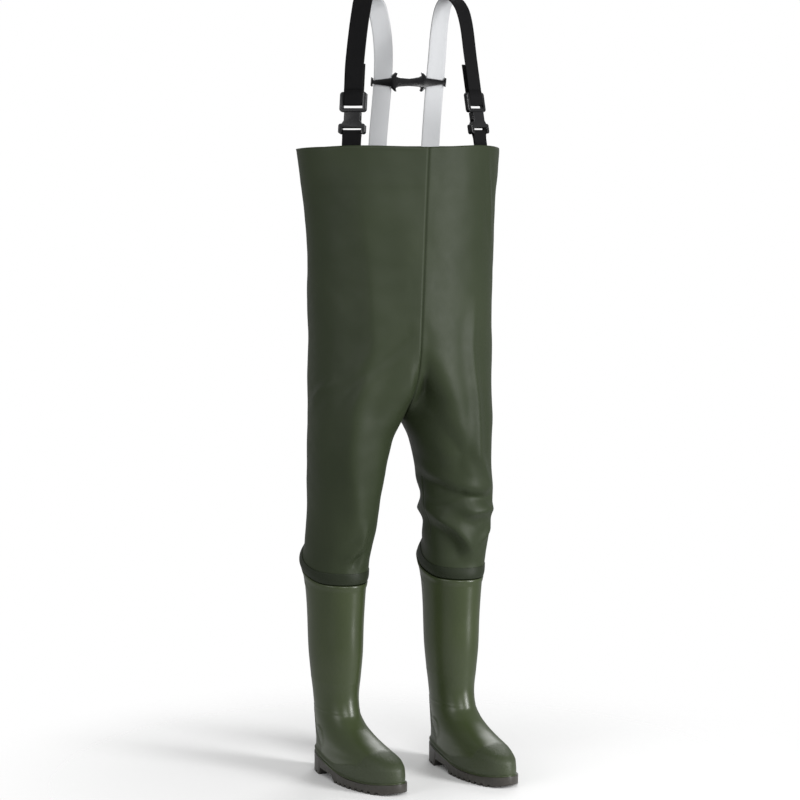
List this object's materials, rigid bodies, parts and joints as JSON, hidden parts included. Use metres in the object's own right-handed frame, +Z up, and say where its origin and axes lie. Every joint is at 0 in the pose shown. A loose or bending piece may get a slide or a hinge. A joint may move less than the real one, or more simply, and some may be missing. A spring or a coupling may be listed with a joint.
{
  "type": "chest waders",
  "caption": "Chest waders: coated-fabric chest and legs with welded seams, moulded boots, and webbing braces with side-release buckles and a back crossbar.",
  "frame": {"origin": "on the floor under the middle of the whole object", "axes": "+Z up; the wearer faces -Y and the wearer's right side is -X"},
  "size_m": [0.41, 0.3256, 1.5641],
  "materials": {
    "coated_fabric": "PVC-coated woven fabric, dark olive, soft semi-matt sheen",
    "weld_tape": "welded PVC tape, darker olive, semi-matt",
    "boot_upper": "moulded PVC, olive green, satin gloss, stippled at toe and heel",
    "outsole": "dark brown-grey moulded compound, matt",
    "insole_felt": "grey felt",
    "webbing": "woven elastic webbing, black outside and white inside",
    "buckle_plastic": "glossy black acetal"
  },
  "bodies": {
    "waders": {"top_facing": "coated_fabric", "front_seam_tape": "weld_tape", "back_seam_tape": "weld_tape", "right_body_panel": "coated_fabric", "right_knee_section": "coated_fabric", "right_front_tab": "webbing", "right_front_anchor": "weld_tape", "right_back_anchor": "weld_tape", "right_shoulder_strap": "webbing", "right_buckle_socket": "buckle_plastic", "left_body_panel": "coated_fabric", "left_knee_section": "coated_fabric", "left_front_tab": "webbing", "left_front_anchor": "weld_tape", "left_back_anchor": "weld_tape", "left_shoulder_strap": "webbing", "left_buckle_socket": "buckle_plastic"},
    "right_shin": {"right_lower_leg": "coated_fabric", "right_cuff_band": "weld_tape", "right_boot_shell": "boot_upper", "right_boot_outsole": "outsole", "right_insole": "insole_felt"},
    "right_plug": {"right_buckle_plug": "buckle_plastic", "right_strap_loop": "webbing"},
    "right_outer_prong": {"right_outer_prong": "buckle_plastic"},
    "right_inner_prong": {"right_inner_prong": "buckle_plastic"},
    "left_shin": {"left_lower_leg": "coated_fabric", "left_cuff_band": "weld_tape", "left_boot_shell": "boot_upper", "left_boot_outsole": "outsole", "left_insole": "insole_felt"},
    "left_plug": {"left_buckle_plug": "buckle_plastic", "left_strap_loop": "webbing"},
    "left_outer_prong": {"left_outer_prong": "buckle_plastic"},
    "left_inner_prong": {"left_inner_prong": "buckle_plastic"},
    "crossbar": {"back_crossbar": "buckle_plastic"}
  },
  "joints": [
    {"name": "right_knee_bend", "type": "hinge", "parent": "waders", "child": "right_shin", "pos_m": [-0.11397, 0.04303, 0.56], "axis": [1, 0, 0], "range_deg": [0, 75], "deforming": ["right_knee_section"]},
    {"name": "left_knee_bend", "type": "hinge", "parent": "waders", "child": "left_shin", "pos_m": [0.12352, 0.04152, 0.56], "axis": [1, 0, 0], "range_deg": [0, 75], "deforming": ["left_knee_section"]},
    {"name": "right_buckle_release", "type": "slide", "parent": "waders", "child": "right_plug", "axis": [0.0946, 0.1456, 0.9848], "range_m": [0, 0.035], "deforming": ["right_shoulder_strap", "right_outer_prong", "right_inner_prong"]},
    {"name": "right_outer_prong_squeeze", "type": "hinge", "parent": "right_plug", "child": "right_outer_prong", "pos_m": [-0.13395, -0.06298, 1.33526], "axis": [-0.5364, -0.8259, 0.1736], "range_deg": [0, 7], "stiffness_Nm_per_rad": 0.12},
    {"name": "right_inner_prong_squeeze", "type": "hinge", "parent": "right_plug", "child": "right_inner_prong", "pos_m": [-0.11399, -0.07594, 1.33526], "axis": [0.5364, 0.8259, -0.1736], "range_deg": [0, 7], "stiffness_Nm_per_rad": 0.12},
    {"name": "left_buckle_release", "type": "slide", "parent": "waders", "child": "left_plug", "axis": [-0.0946, 0.1456, 0.9848], "range_m": [0, 0.035], "deforming": ["left_shoulder_strap", "left_outer_prong", "left_inner_prong"]},
    {"name": "left_outer_prong_squeeze", "type": "hinge", "parent": "left_plug", "child": "left_outer_prong", "pos_m": [0.13717, -0.06298, 1.33526], "axis": [-0.5364, 0.8259, -0.1736], "range_deg": [0, 7], "stiffness_Nm_per_rad": 0.12},
    {"name": "left_inner_prong_squeeze", "type": "hinge", "parent": "left_plug", "child": "left_inner_prong", "pos_m": [0.11721, -0.07594, 1.33526], "axis": [0.5364, -0.8259, 0.1736], "range_deg": [0, 7], "stiffness_Nm_per_rad": 0.12},
    {"name": "crossbar_slide", "type": "slide", "parent": "waders", "child": "crossbar", "axis": [0, -0.2399, 0.9708], "range_m": [-0.05, 0.02]}
  ]
}
